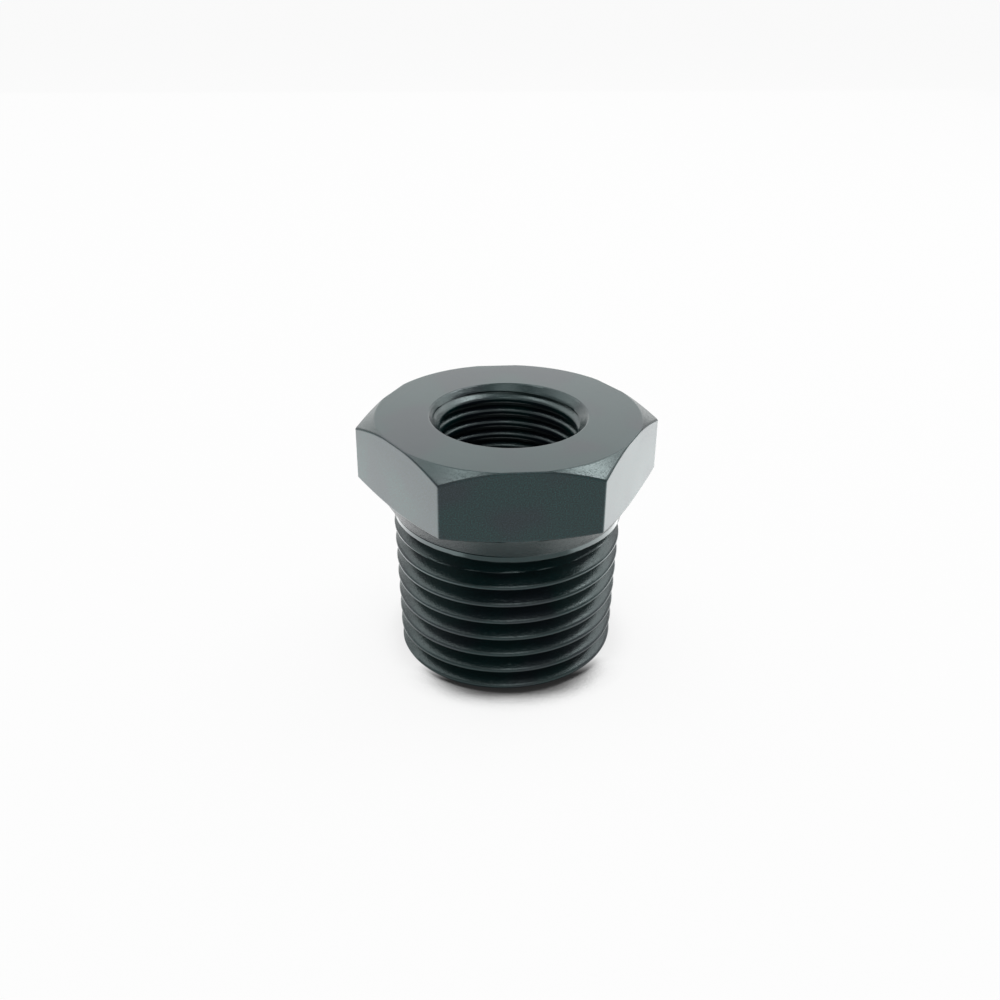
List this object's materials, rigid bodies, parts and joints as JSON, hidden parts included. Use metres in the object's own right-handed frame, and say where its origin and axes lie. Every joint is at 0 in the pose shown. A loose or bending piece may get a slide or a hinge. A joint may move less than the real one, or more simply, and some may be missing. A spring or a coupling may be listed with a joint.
{
  "type": "threaded adapter",
  "caption": "Hexagon reducing bushing: a taper-threaded pipe end below a wrench head, with a countersunk threaded bore right through.",
  "frame": {"origin": "on the axis, at the thread end face, which is the lowest face", "axes": "+Z along the axis, from the thread end up to the wrench head; two wrench flats face +Y and -Y"},
  "size_m": [0.0278, 0.024, 0.0236],
  "materials": {
    "anodised_body": "satin black anodised aluminium, turned from bar"
  },
  "bodies": {
    "root": {"adapter_body": "anodised_body"}
  },
  "joints": []
}
